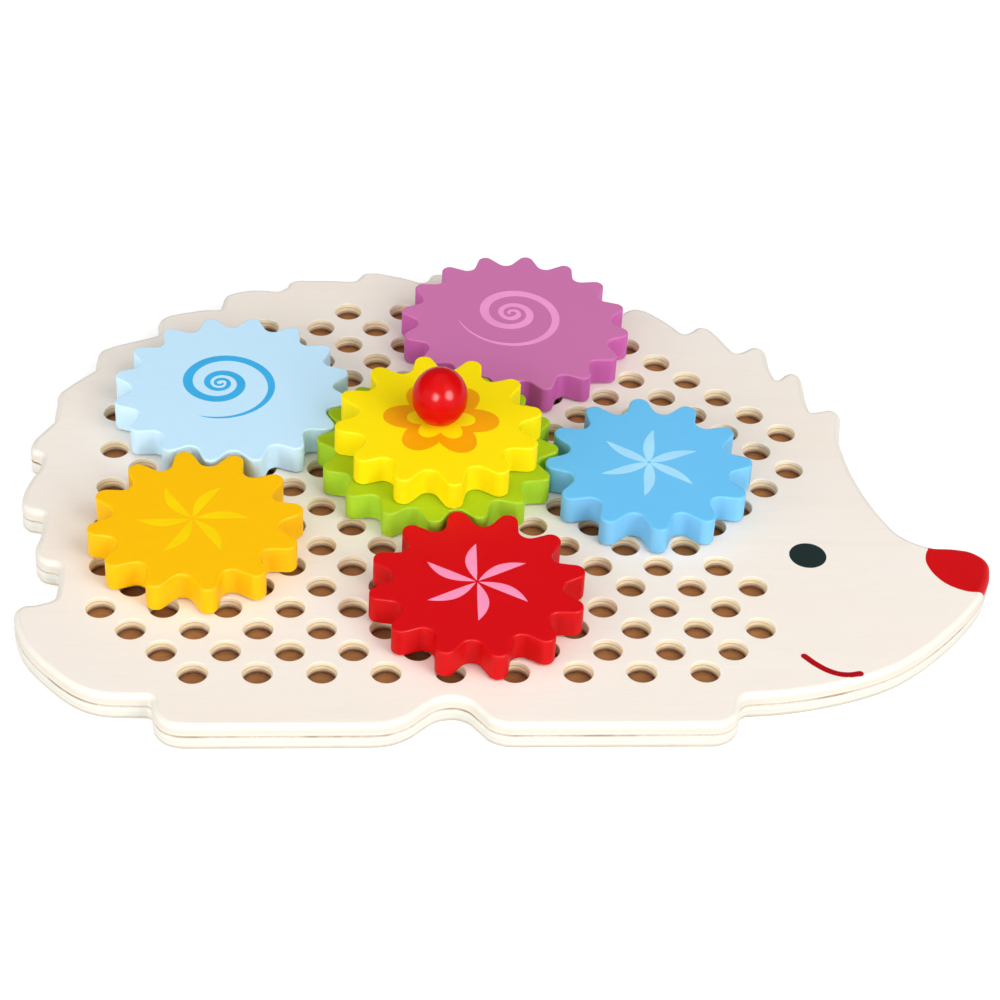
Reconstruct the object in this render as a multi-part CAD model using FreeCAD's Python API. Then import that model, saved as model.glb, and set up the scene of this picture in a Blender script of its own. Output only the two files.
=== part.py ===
import FreeCAD, Part
import math
import os

# ---------------------------------------------------------------------------
# Wooden gear board: a hedgehog shaped peg board made of two glued plywood
# boards, six loose pegs, five gears that turn on pegs, and a crank gear (green)
# with a second gear and a ball knob glued on top of it by a dowel.
# Millimetres, +Z up, X along the animal's length (nose at +X).
# Origin: middle of the footprint, on the underside of the base board.
# ---------------------------------------------------------------------------

# ---- driving dimensions ----------------------------------------------------
PITCH = 11.0            # half pitch of the staggered hole lattice
CENTRE_U = 10.0687      # lattice point that sits over the origin
CENTRE_V = 9.6045
BASE_T = 6.0            # base board thickness
TOP_T = 5.0             # perforated board thickness
EDGE_R = 2.4            # rounding of the upper rim of the perforated board
BASE_EDGE_R = 1.0       # rounding of the lower rim of the base board
HOLE_R = 5.3            # peg holes in the perforated board
PEG_R = 4.0             # loose pegs, 8 mm dowel: they stand with play in the holes
PEG_UP = 9.0            # how far a peg stands above the perforated board
PEG_CHAMFER = 0.6
BORE_R = 4.15           # blind bore under each gear
GEAR_Z = 0.7            # underside of a gear above the perforated board
GEAR_T = 11.4           # gear thickness
GEAR_EDGE_R = 0.7       # rounding of the gear rims
UPPER_GAP = 0.2         # air between the crank gear and the gear above it
DOWEL_R = 3.0           # dowel that joins crank gear, upper gear and knob
DOWEL_IN_KNOB = 9.5
KNOB_R = 10.3           # ball knob, widest radius
KNOB_H = 11.5           # ball knob, half height of the full ellipsoid
KNOB_FLAT_R = 4.5       # flat foot of the knob
BIG = dict(teeth=16, tip=44.8, root=38.2, rt=3.1, rv=3.5)
SMALL = dict(teeth=12, tip=38.6, root=30.0, rt=3.6, rv=4.0)

# gear name: (lattice point, how far the loose peg rests off the middle of its hole
# in x and y, tooth profile, angle of one tooth from +X in degrees)
GEARS = {
    "green_crank_gear": ((8, 10), (-0.85, -0.05), BIG, -3.60),
    "purple_gear": ((11, 17), (-0.80, -0.25), BIG, -9.30),
    "light_blue_gear": ((1, 13), (-0.45, 0.45), BIG, -9.70),
    "blue_gear": ((15, 9), (0.05, 0.20), SMALL, 0.60),
    "red_gear": ((9, 3), (-0.55, 0.00), SMALL, 9.20),
    "orange_gear": ((0, 6), (-0.75, 0.60), SMALL, 8.60),
}
UPPER_GEAR_ANGLE = 7.00
PEG_OF = {
    "green_crank_gear": "crank_peg",
    "purple_gear": "purple_gear_peg",
    "light_blue_gear": "light_blue_gear_peg",
    "blue_gear": "blue_gear_peg",
    "red_gear": "red_gear_peg",
    "orange_gear": "orange_gear_peg",
}

# rows of peg holes: lattice row -> first and last lattice column (every second one)
HOLE_ROWS = {
    0: (0, 16), 1: (-1, 17), 2: (-2, 18), 3: (-3, 17), 4: (-2, 18),
    5: (-3, 17), 6: (-2, 16), 7: (-3, 17), 8: (-2, 18), 9: (-3, 19),
    10: (-2, 20), 11: (-3, 19), 12: (-2, 20), 13: (-3, 19), 14: (-2, 18),
    15: (-1, 17), 16: (0, 16), 17: (1, 15), 18: (2, 12), 19: (5, 9),
}

# Outline of both boards in lattice units, counter-clockwise.
# ('s', u, v[, direction]) smooth point; ('c', u, v, direction in, direction out,
# setback) corner that is rounded over its setback.  Directions in degrees.
OUTLINE = [
    ('s', 0.0, -2.36, 0), ('s', 5.3, -2.36, 0), ('s', 6.15, -2.26), ('s', 6.66, -2.0),
    ('s', 7.13, -1.58), ('s', 7.53, -1.27), ('s', 8.03, -1.16, 0), ('s', 8.45, -1.28),
    ('s', 8.86, -1.74), ('s', 9.2, -2.15), ('s', 9.6, -2.32), ('s', 10.1, -2.36, 0),
    ('s', 16.05, -2.36, 0), ('s', 16.5, -2.23), ('s', 16.8, -1.95), ('s', 16.93, -1.6, 80),
    ('c', 17.03, -1.1, 80, 6, 0.28), ('s', 18.13, -1.01), ('s', 18.93, -0.89),
    ('s', 19.75, -0.71), ('s', 20.58, -0.47), ('s', 21.42, -0.16), ('s', 22.11, 0.18),
    ('s', 22.7, 0.57), ('s', 23.3, 1.05), ('s', 23.75, 1.46), ('s', 24.21, 1.92),
    ('s', 24.63, 2.38), ('s', 25.04, 2.88), ('s', 25.46, 3.46), ('s', 25.75, 4.0),
    ('s', 25.99, 4.66), ('s', 26.03, 5.29), ('s', 25.6, 5.79), ('s', 25.05, 5.95),
    ('s', 24.45, 5.99, 178), ('s', 23.95, 6.15), ('s', 23.51, 6.45), ('s', 23.18, 6.84),
    ('s', 22.97, 7.29), ('s', 22.76, 7.77), ('s', 22.55, 8.39), ('s', 22.35, 9.13),
    ('s', 22.17, 9.99), ('s', 22.07, 10.85), ('s', 22.03, 11.5), ('s', 22.12, 12.14),
    ('s', 22.24, 12.8, 79.3), ('s', 22.243, 13.1), ('s', 21.947, 13.415), ('s', 21.655, 13.353),
    ('c', 21.22, 13.24, 197, 93, 0.16), ('s', 21.18, 13.85), ('s', 21.19, 14.75, 89.7),
    ('s', 21.13, 15.328, 112), ('s', 20.901, 15.539, 166), ('s', 20.73, 15.524, 203.3),
    ('c', 20.22, 15.06, 222, 93, 0.17), ('s', 20.12, 15.75), ('s', 20.11, 16.4, 88.6),
    ('s', 19.988, 16.939), ('s', 19.664, 17.085), ('s', 19.383, 16.917),
    ('c', 18.94, 16.68, 200, 113, 0.17), ('s', 18.68, 17.24), ('s', 18.41, 17.82),
    ('s', 18.11, 18.21), ('s', 17.78, 18.27), ('s', 17.52, 18.05),
    ('c', 17.24, 17.83, 215, 140, 0.14), ('s', 16.97, 18.16), ('s', 16.66, 18.57),
    ('s', 16.28, 18.98), ('s', 15.88, 19.3), ('s', 15.51, 19.38), ('s', 15.2, 19.24),
    ('c', 14.86, 18.98, 205, 118, 0.17), ('s', 14.55, 19.5), ('s', 14.2, 20.0),
    ('s', 13.75, 20.42), ('s', 13.3, 20.56), ('s', 12.95, 20.42),
    ('c', 12.62, 20.18, 205, 150, 0.14), ('s', 12.1, 20.53), ('s', 11.55, 20.87),
    ('s', 11.0, 21.1), ('s', 10.55, 21.12), ('s', 10.3, 20.97),
    ('c', 10.08, 20.74, 222, 160, 0.13), ('s', 9.45, 21.03), ('s', 8.95, 21.33),
    ('s', 8.456, 21.504), ('s', 8.109, 21.417), ('s', 8.016, 21.203, 252.6),
    ('c', 7.79, 20.94, 225, 162, 0.13), ('s', 7.19, 21.2), ('s', 6.58, 21.41), ('s', 6.0, 21.55),
    ('s', 5.57, 21.46), ('s', 5.41, 21.23), ('c', 5.25, 20.99, 235, 178, 0.13), ('s', 4.4, 21.04),
    ('s', 3.6, 21.04), ('s', 3.117, 21.032), ('s', 2.853, 20.887), ('s', 2.739, 20.597),
    ('c', 2.52, 20.32, 240, 176, 0.14), ('s', 1.9, 20.4), ('s', 1.36, 20.38), ('s', 0.88, 20.24),
    ('s', 0.52, 19.99), ('s', 0.42, 19.58), ('c', 0.37, 19.16, 268, 184, 0.16),
    ('s', -0.15, 19.16), ('s', -0.69, 19.04), ('s', -1.22, 18.89), ('s', -1.59, 18.72),
    ('s', -1.84, 18.38), ('s', -1.83, 17.98), ('c', -1.83, 17.57, 271, 204, 0.16),
    ('s', -2.44, 17.31), ('s', -3.0, 17.09), ('s', -3.47, 16.87), ('s', -3.84, 16.58),
    ('s', -3.92, 16.12), ('c', -3.92, 15.51, 273, 226, 0.16), ('s', -4.37, 15.05),
    ('s', -4.82, 14.54), ('s', -5.12, 14.1), ('s', -5.13, 13.56),
    ('c', -5.14, 12.61, 274, 240, 0.16), ('s', -5.48, 12.06), ('s', -5.78, 11.52),
    ('s', -5.847, 11.151), ('s', -5.779, 10.872), ('c', -5.42, 10.62, 322, 268, 0.14),
    ('s', -5.48, 10.0), ('s', -5.71, 9.47), ('s', -5.85, 8.96), ('s', -5.91, 8.4),
    ('s', -5.86, 8.02), ('s', -5.7, 7.8), ('c', -5.14, 7.62, 345, 270, 0.16), ('s', -5.14, 7.05),
    ('s', -5.18, 6.5), ('s', -5.28, 6.0), ('s', -5.22, 5.55), ('s', -5.02, 5.25),
    ('c', -4.45, 5.08, 352, 272, 0.2), ('s', -4.42, 4.35), ('c', -4.46, 3.38, 268, 190, 0.3),
    ('s', -5.05, 3.22), ('s', -5.44, 3.16), ('s', -5.69, 2.86), ('s', -5.66, 2.42),
    ('s', -5.515, 1.885), ('s', -5.32, 1.41), ('s', -5.05, 0.97), ('s', -4.74, 0.56),
    ('s', -4.39, 0.16), ('s', -4.0, -0.25), ('s', -3.55, -0.62), ('s', -3.1, -0.86),
    ('s', -2.6, -0.99), ('s', -2.1, -1.02, 0), ('c', -1.22, -1.03, 0, 276, 0.2),
    ('s', -1.18, -1.5), ('s', -1.06, -1.85), ('s', -0.82, -2.15), ('s', -0.45, -2.32),
]

PLATE_Z = BASE_T + TOP_T            # upper face of the perforated board
GEAR_BOTTOM = PLATE_Z + GEAR_Z
GEAR_TOP = GEAR_BOTTOM + GEAR_T
PEG_TOP = PLATE_Z + PEG_UP
UPPER_BOTTOM = GEAR_TOP + UPPER_GAP
UPPER_TOP = UPPER_BOTTOM + GEAR_T
V = FreeCAD.Vector


def at(u, v, z=0.0):
    """Lattice point to millimetres."""
    return V((u - CENTRE_U) * PITCH, (v - CENTRE_V) * PITCH, z)


# ---- board outline as tangent arcs ----------------------------------------
def circle_direction(a, b, c):
    """Direction at b of the circle through a, b and c."""
    ax, ay = a
    bx, by = b
    cx, cy = c
    d = 2 * ((bx - ax) * (cy - ay) - (by - ay) * (cx - ax))
    if abs(d) < 1e-9:
        return math.atan2(cy - ay, cx - ax)
    a2 = (bx - ax) ** 2 + (by - ay) ** 2
    c2 = (cx - ax) ** 2 + (cy - ay) ** 2
    ux = ax + ((cy - ay) * a2 - (by - ay) * c2) / d
    uy = ay + ((bx - ax) * c2 - (cx - ax) * a2) / d
    k = 1 if d > 0 else -1
    return math.atan2(by - uy, bx - ux) + k * math.pi / 2


def outline_points():
    pts = []
    for n in OUTLINE:
        if n[0] == 's':
            pts.append([n[1], n[2], math.radians(n[3]) if len(n) > 3 else None])
        else:
            _, u, v, di, do, s = n
            di, do = math.radians(di), math.radians(do)
            pts.append([u - s * math.cos(di), v - s * math.sin(di), di])
            pts.append([u + s * math.cos(do), v + s * math.sin(do), do])
    for i, p in enumerate(pts):
        if p[2] is None:
            p[2] = circle_direction(pts[i - 1][:2], p[:2], pts[(i + 1) % len(pts)][:2])
    return pts


def biarc_joint(p0, t0, p1, t1):
    """Point where the two tangent arcs between two directed points meet."""
    vx, vy = p1[0] - p0[0], p1[1] - p0[1]
    c0, s0, c1, s1 = math.cos(t0), math.sin(t0), math.cos(t1), math.sin(t1)
    vt = vx * (c0 + c1) + vy * (s0 + s1)
    vv = vx * vx + vy * vy
    den = 2 * (1 - (c0 * c1 + s0 * s1))
    if abs(den) < 1e-9:
        if abs(vx * s0 - vy * c0) < 1e-7 * math.sqrt(vv):
            return None
        d = vv / (4 * (vx * c1 + vy * s1))
    else:
        d = (-vt + math.sqrt(vt * vt + den * vv)) / den
    return ((p0[0] + p1[0] + d * (c0 - c1)) / 2, (p0[1] + p1[1] + d * (s0 - s1)) / 2)


def arc_middle(p, t, q):
    """Middle of the arc that leaves p in direction t and ends in q."""
    vx, vy = q[0] - p[0], q[1] - p[1]
    length = math.hypot(vx, vy)
    c, s = math.cos(t), math.sin(t)
    a = math.atan2(c * vy - s * vx, c * vx + s * vy)
    if abs(a) < 1e-6:
        return None
    h = length / 2 * math.tan(a / 2)
    return (p[0] + vx / 2 + vy / length * h, p[1] + vy / 2 - vx / length * h)


def outline_wire(z):
    pts = outline_points()
    edges = []

    def add(a, m, b):
        if m is None:
            edges.append(Part.LineSegment(at(a[0], a[1], z), at(b[0], b[1], z)).toShape())
        else:
            edges.append(Part.Arc(at(a[0], a[1], z), at(m[0], m[1], z), at(b[0], b[1], z)).toShape())

    for i, a in enumerate(pts):
        b = pts[(i + 1) % len(pts)]
        j = biarc_joint(a[:2], a[2], b[:2], b[2])
        if j is None:
            add(a[:2], None, b[:2])
            continue
        add(a[:2], arc_middle(a[:2], a[2], j), j)
        add(j, arc_middle(b[:2], b[2] + math.pi, j), b[:2])
    return Part.Wire(edges)


def axis_at(name, z=0.0):
    """Point on the axis of a gear and of its peg."""
    (u, v), (dx, dy) = GEARS[name][:2]
    return at(u, v, z) + V(dx, dy, 0)


def rim_edges(solid, z):
    """Edges of the outer rim at height z."""
    return [e for e in solid.Edges
            if abs(e.BoundBox.ZMin - z) < 1e-6 and abs(e.BoundBox.ZMax - z) < 1e-6]


def base_board():
    s = Part.Face(outline_wire(0.0)).extrude(V(0, 0, BASE_T))
    return s.makeFillet(BASE_EDGE_R, rim_edges(s, 0.0))


def hole_centres():
    for row, (first, last) in sorted(HOLE_ROWS.items()):
        for u in range(first, last + 1, 2):
            yield u, row


def top_board():
    # the rim is rounded first, then all holes are cut through
    s = Part.Face(outline_wire(BASE_T)).extrude(V(0, 0, TOP_T))
    s = s.makeFillet(EDGE_R, rim_edges(s, PLATE_Z))
    pins = [Part.makeCylinder(HOLE_R, TOP_T + 2, at(u, v, BASE_T - 1)) for u, v in hole_centres()]
    return s.cut(Part.Compound(pins))


# ---- gears -----------------------------------------------------------------
def rot(x, y, a):
    return (x * math.cos(a) - y * math.sin(a), x * math.sin(a) + y * math.cos(a))


def gear_face(teeth, tip, root, rt, rv, cx, cy, angle, z):
    """Gear outline: round tips, round valleys, straight flanks tangent to both."""
    al = math.pi / teeth
    c1 = (tip - rt, 0.0)
    rad = root + rv
    c2 = (rad * math.cos(al), rad * math.sin(al))
    dx, dy = c2[0] - c1[0], c2[1] - c1[1]
    dist = math.hypot(dx, dy)
    th = math.atan2(dy, dx) - math.acos((rt + rv) / dist)
    n = (math.cos(th), math.sin(th))
    t1 = (c1[0] + rt * n[0], c1[1] + rt * n[1])
    t2 = (c2[0] - rv * n[0], c2[1] - rv * n[1])
    valley = (root * math.cos(al), root * math.sin(al))
    edges = []
    for k in range(teeth):
        a = math.radians(angle) + 2 * math.pi * k / teeth
        b = a + 2 * al

        def p(q, s=1):
            x, y = rot(q[0], s * q[1], a)
            return V(cx + x, cy + y, z)

        def pn(q):
            x, y = rot(q[0], -q[1], b)
            return V(cx + x, cy + y, z)

        edges.append(Part.Arc(p(t1, -1), p((tip, 0.0)), p(t1)).toShape())
        edges.append(Part.LineSegment(p(t1), p(t2)).toShape())
        edges.append(Part.Arc(p(t2), p(valley), pn(t2)).toShape())
        edges.append(Part.LineSegment(pn(t2), pn(t1)).toShape())
    return Part.Face(Part.Wire(edges))


def gear(profile, c, angle, z):
    s = gear_face(cx=c.x, cy=c.y, angle=angle, z=z, **profile).extrude(V(0, 0, GEAR_T))
    rims = [e for e in s.Edges if abs(e.BoundBox.ZMax - e.BoundBox.ZMin) < 1e-6]
    return s.makeFillet(GEAR_EDGE_R, rims)


def peg(foot):
    s = Part.makeCylinder(PEG_R, PEG_TOP - BASE_T, foot)
    rims = [e for e in s.Edges if isinstance(e.Curve, Part.Circle)]
    return s.makeChamfer(PEG_CHAMFER, rims)


def knob(c):
    """Ball knob with a flat foot and a blind dowel hole."""
    drop = KNOB_H * math.sqrt(1 - (KNOB_FLAT_R / KNOB_R) ** 2)
    zc = UPPER_TOP + drop
    # profile of the ellipsoid as an exact ellipse arc, revolved about the axis
    ell = Part.Ellipse(V(0, 0, zc + KNOB_H), V(KNOB_R, 0, zc), V(0, 0, zc))
    # parameter 0 is the top; the foot lies at the angle whose cosine is -drop/KNOB_H
    t_foot = math.acos(-drop / KNOB_H)
    p_top, p_foot = ell.value(0.0), ell.value(t_foot)
    arc = Part.ArcOfEllipse(ell, 0.0, t_foot).toShape()
    foot = V(0, 0, UPPER_TOP)
    wire = Part.Wire([arc,
                      Part.LineSegment(p_foot, foot).toShape(),
                      Part.LineSegment(foot, p_top).toShape()])
    s = Part.Face(wire).revolve(V(0, 0, 0), V(0, 0, 1), 360)
    if s.Volume < 0:
        s.reverse()
    s.translate(V(c.x, c.y, 0))
    return s.cut(Part.makeCylinder(DOWEL_R, DOWEL_IN_KNOB + 0.2 + 1, V(c.x, c.y, UPPER_TOP - 1)))


def build():
    parts = {"base_board": base_board(), "top_board": top_board()}
    for name, (_, _, profile, angle) in GEARS.items():
        g = gear(profile, axis_at(name), angle, GEAR_BOTTOM)
        g = g.cut(Part.makeCylinder(BORE_R, PEG_TOP - GEAR_BOTTOM + 1,
                                    axis_at(name, GEAR_BOTTOM - 1)))
        if name == "green_crank_gear":
            g = g.cut(Part.makeCylinder(DOWEL_R, GEAR_T + 2, axis_at(name, GEAR_BOTTOM)))
        parts[name] = g
        parts[PEG_OF[name]] = peg(axis_at(name, BASE_T))
    crank = "green_crank_gear"
    upper = gear(SMALL, axis_at(crank), UPPER_GEAR_ANGLE, UPPER_BOTTOM)
    parts["yellow_crank_gear"] = upper.cut(
        Part.makeCylinder(DOWEL_R, GEAR_T + 2, axis_at(crank, UPPER_BOTTOM - 1)))
    parts["crank_knob"] = knob(axis_at(crank))
    parts["crank_dowel"] = Part.makeCylinder(
        DOWEL_R, UPPER_TOP + DOWEL_IN_KNOB - PEG_TOP, axis_at(crank, PEG_TOP))
    return parts


def main():
    os.makedirs("parts", exist_ok=True)
    total = FreeCAD.BoundBox()
    for name, shape in build().items():
        solids = shape.Solids
        if len(solids) != 1:
            raise RuntimeError("%s has %d solids" % (name, len(solids)))
        s = solids[0]
        if not s.isValid() or s.Volume <= 0:
            raise RuntimeError("%s is not a valid solid" % name)
        bb = s.optimalBoundingBox(False, False) if hasattr(s, "optimalBoundingBox") else s.BoundBox
        total.add(bb)
        print("%-22s volume %10.1f  box %8.2f %8.2f %8.2f  %8.2f %8.2f %8.2f" % (
            name, s.Volume, bb.XMin, bb.YMin, bb.ZMin, bb.XMax, bb.YMax, bb.ZMax))
        s.exportStep(os.path.join("parts", name + ".step"))
    print("whole box", total)


main()
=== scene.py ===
import bpy
import math
import numpy as np
from mathutils import Matrix, Vector
from mathutils.geometry import delaunay_2d_cdt


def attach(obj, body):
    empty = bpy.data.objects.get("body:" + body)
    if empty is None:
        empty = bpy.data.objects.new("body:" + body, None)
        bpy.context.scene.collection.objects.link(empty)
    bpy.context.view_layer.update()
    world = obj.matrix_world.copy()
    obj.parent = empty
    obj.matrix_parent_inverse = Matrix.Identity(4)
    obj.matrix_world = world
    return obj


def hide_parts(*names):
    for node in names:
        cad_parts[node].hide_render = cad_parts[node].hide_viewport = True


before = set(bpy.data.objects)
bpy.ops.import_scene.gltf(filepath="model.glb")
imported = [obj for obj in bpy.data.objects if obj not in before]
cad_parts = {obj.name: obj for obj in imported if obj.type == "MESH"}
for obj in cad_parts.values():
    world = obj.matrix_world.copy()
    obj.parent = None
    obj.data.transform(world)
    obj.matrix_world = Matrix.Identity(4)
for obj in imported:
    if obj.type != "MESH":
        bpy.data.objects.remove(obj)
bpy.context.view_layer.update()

MM = 0.001

# ---------------------------------------------------------------------------
# sizes shared with the CAD, in millimetres
# ---------------------------------------------------------------------------
PITCH, CENTRE_U, CENTRE_V = 11.0, 10.0687, 9.6045
BASE_T, TOP_T = 6.0, 5.0
EDGE_R, BASE_EDGE_R = 2.4, 1.0
HOLE_R, LIP_R = 5.3, 0.30
PEG_UP, BORE_R = 9.0, 4.15
GEAR_Z, GEAR_T, GEAR_EDGE_R, UPPER_GAP = 0.7, 11.4, 0.7, 0.2
DOWEL_R, DOWEL_IN_KNOB = 3.0, 9.5
KNOB_R, KNOB_H, KNOB_FLAT_R = 10.3, 11.5, 4.5
BIG = dict(teeth=16, tip=44.8, root=38.2, rt=3.1, rv=3.5)
SMALL = dict(teeth=12, tip=38.6, root=30.0, rt=3.6, rv=4.0)
PLATE_Z = BASE_T + TOP_T
GEAR_BOTTOM = PLATE_Z + GEAR_Z
GEAR_TOP = GEAR_BOTTOM + GEAR_T
PEG_TOP = PLATE_Z + PEG_UP
UPPER_BOTTOM = GEAR_TOP + UPPER_GAP
UPPER_TOP = UPPER_BOTTOM + GEAR_T

HOLE_ROWS = {
    0: (0, 16), 1: (-1, 17), 2: (-2, 18), 3: (-3, 17), 4: (-2, 18),
    5: (-3, 17), 6: (-2, 16), 7: (-3, 17), 8: (-2, 18), 9: (-3, 19),
    10: (-2, 20), 11: (-3, 19), 12: (-2, 20), 13: (-3, 19), 14: (-2, 18),
    15: (-1, 17), 16: (0, 16), 17: (1, 15), 18: (2, 12), 19: (5, 9),
}

OUTLINE = [
    ('s', 0.0, -2.36, 0), ('s', 5.3, -2.36, 0), ('s', 6.15, -2.26), ('s', 6.66, -2.0),
    ('s', 7.13, -1.58), ('s', 7.53, -1.27), ('s', 8.03, -1.16, 0), ('s', 8.45, -1.28),
    ('s', 8.86, -1.74), ('s', 9.2, -2.15), ('s', 9.6, -2.32), ('s', 10.1, -2.36, 0),
    ('s', 16.05, -2.36, 0), ('s', 16.5, -2.23), ('s', 16.8, -1.95), ('s', 16.93, -1.6, 80),
    ('c', 17.03, -1.1, 80, 6, 0.28), ('s', 18.13, -1.01), ('s', 18.93, -0.89),
    ('s', 19.75, -0.71), ('s', 20.58, -0.47), ('s', 21.42, -0.16), ('s', 22.11, 0.18),
    ('s', 22.7, 0.57), ('s', 23.3, 1.05), ('s', 23.75, 1.46), ('s', 24.21, 1.92),
    ('s', 24.63, 2.38), ('s', 25.04, 2.88), ('s', 25.46, 3.46), ('s', 25.75, 4.0),
    ('s', 25.99, 4.66), ('s', 26.03, 5.29), ('s', 25.6, 5.79), ('s', 25.05, 5.95),
    ('s', 24.45, 5.99, 178), ('s', 23.95, 6.15), ('s', 23.51, 6.45), ('s', 23.18, 6.84),
    ('s', 22.97, 7.29), ('s', 22.76, 7.77), ('s', 22.55, 8.39), ('s', 22.35, 9.13),
    ('s', 22.17, 9.99), ('s', 22.07, 10.85), ('s', 22.03, 11.5), ('s', 22.12, 12.14),
    ('s', 22.24, 12.8, 79.3), ('s', 22.243, 13.1), ('s', 21.947, 13.415), ('s', 21.655, 13.353),
    ('c', 21.22, 13.24, 197, 93, 0.16), ('s', 21.18, 13.85), ('s', 21.19, 14.75, 89.7),
    ('s', 21.13, 15.328, 112), ('s', 20.901, 15.539, 166), ('s', 20.73, 15.524, 203.3),
    ('c', 20.22, 15.06, 222, 93, 0.17), ('s', 20.12, 15.75), ('s', 20.11, 16.4, 88.6),
    ('s', 19.988, 16.939), ('s', 19.664, 17.085), ('s', 19.383, 16.917),
    ('c', 18.94, 16.68, 200, 113, 0.17), ('s', 18.68, 17.24), ('s', 18.41, 17.82),
    ('s', 18.11, 18.21), ('s', 17.78, 18.27), ('s', 17.52, 18.05),
    ('c', 17.24, 17.83, 215, 140, 0.14), ('s', 16.97, 18.16), ('s', 16.66, 18.57),
    ('s', 16.28, 18.98), ('s', 15.88, 19.3), ('s', 15.51, 19.38), ('s', 15.2, 19.24),
    ('c', 14.86, 18.98, 205, 118, 0.17), ('s', 14.55, 19.5), ('s', 14.2, 20.0),
    ('s', 13.75, 20.42), ('s', 13.3, 20.56), ('s', 12.95, 20.42),
    ('c', 12.62, 20.18, 205, 150, 0.14), ('s', 12.1, 20.53), ('s', 11.55, 20.87),
    ('s', 11.0, 21.1), ('s', 10.55, 21.12), ('s', 10.3, 20.97),
    ('c', 10.08, 20.74, 222, 160, 0.13), ('s', 9.45, 21.03), ('s', 8.95, 21.33),
    ('s', 8.456, 21.504), ('s', 8.109, 21.417), ('s', 8.016, 21.203, 252.6),
    ('c', 7.79, 20.94, 225, 162, 0.13), ('s', 7.19, 21.2), ('s', 6.58, 21.41), ('s', 6.0, 21.55),
    ('s', 5.57, 21.46), ('s', 5.41, 21.23), ('c', 5.25, 20.99, 235, 178, 0.13), ('s', 4.4, 21.04),
    ('s', 3.6, 21.04), ('s', 3.117, 21.032), ('s', 2.853, 20.887), ('s', 2.739, 20.597),
    ('c', 2.52, 20.32, 240, 176, 0.14), ('s', 1.9, 20.4), ('s', 1.36, 20.38), ('s', 0.88, 20.24),
    ('s', 0.52, 19.99), ('s', 0.42, 19.58), ('c', 0.37, 19.16, 268, 184, 0.16),
    ('s', -0.15, 19.16), ('s', -0.69, 19.04), ('s', -1.22, 18.89), ('s', -1.59, 18.72),
    ('s', -1.84, 18.38), ('s', -1.83, 17.98), ('c', -1.83, 17.57, 271, 204, 0.16),
    ('s', -2.44, 17.31), ('s', -3.0, 17.09), ('s', -3.47, 16.87), ('s', -3.84, 16.58),
    ('s', -3.92, 16.12), ('c', -3.92, 15.51, 273, 226, 0.16), ('s', -4.37, 15.05),
    ('s', -4.82, 14.54), ('s', -5.12, 14.1), ('s', -5.13, 13.56),
    ('c', -5.14, 12.61, 274, 240, 0.16), ('s', -5.48, 12.06), ('s', -5.78, 11.52),
    ('s', -5.847, 11.151), ('s', -5.779, 10.872), ('c', -5.42, 10.62, 322, 268, 0.14),
    ('s', -5.48, 10.0), ('s', -5.71, 9.47), ('s', -5.85, 8.96), ('s', -5.91, 8.4),
    ('s', -5.86, 8.02), ('s', -5.7, 7.8), ('c', -5.14, 7.62, 345, 270, 0.16), ('s', -5.14, 7.05),
    ('s', -5.18, 6.5), ('s', -5.28, 6.0), ('s', -5.22, 5.55), ('s', -5.02, 5.25),
    ('c', -4.45, 5.08, 352, 272, 0.2), ('s', -4.42, 4.35), ('c', -4.46, 3.38, 268, 190, 0.3),
    ('s', -5.05, 3.22), ('s', -5.44, 3.16), ('s', -5.69, 2.86), ('s', -5.66, 2.42),
    ('s', -5.515, 1.885), ('s', -5.32, 1.41), ('s', -5.05, 0.97), ('s', -4.74, 0.56),
    ('s', -4.39, 0.16), ('s', -4.0, -0.25), ('s', -3.55, -0.62), ('s', -3.1, -0.86),
    ('s', -2.6, -0.99), ('s', -2.1, -1.02, 0), ('c', -1.22, -1.03, 0, 276, 0.2),
    ('s', -1.18, -1.5), ('s', -1.06, -1.85), ('s', -0.82, -2.15), ('s', -0.45, -2.32),
]

# gear: lattice point, where its loose peg rests in the hole (mm off its middle), tooth profile,
# angle of one tooth, underside, body, CAD node
GEARS = {
    "green": ((8, 10), (-0.85, -0.05), BIG, -3.60, GEAR_BOTTOM, "crank", "green_crank_gear"),
    "yellow": ((8, 10), (-0.85, -0.05), SMALL, 7.00, UPPER_BOTTOM, "crank", "yellow_crank_gear"),
    "purple": ((11, 17), (-0.80, -0.25), BIG, -9.30, GEAR_BOTTOM, "purple_gear", "purple_gear"),
    "light_blue": ((1, 13), (-0.45, 0.45), BIG, -9.70, GEAR_BOTTOM, "light_blue_gear", "light_blue_gear"),
    "blue": ((15, 9), (0.05, 0.20), SMALL, 0.60, GEAR_BOTTOM, "blue_gear", "blue_gear"),
    "red": ((9, 3), (-0.55, 0.00), SMALL, 9.20, GEAR_BOTTOM, "red_gear", "red_gear"),
    "orange": ((0, 6), (-0.75, 0.60), SMALL, 8.60, GEAR_BOTTOM, "orange_gear", "orange_gear"),
}


def at(u, v):
    """Lattice point to millimetres."""
    return ((u - CENTRE_U) * PITCH, (v - CENTRE_V) * PITCH)


def gear_centre(key):
    (u, v), (dx, dy) = GEARS[key][:2]
    x, y = at(u, v)
    return x + dx, y + dy


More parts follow.
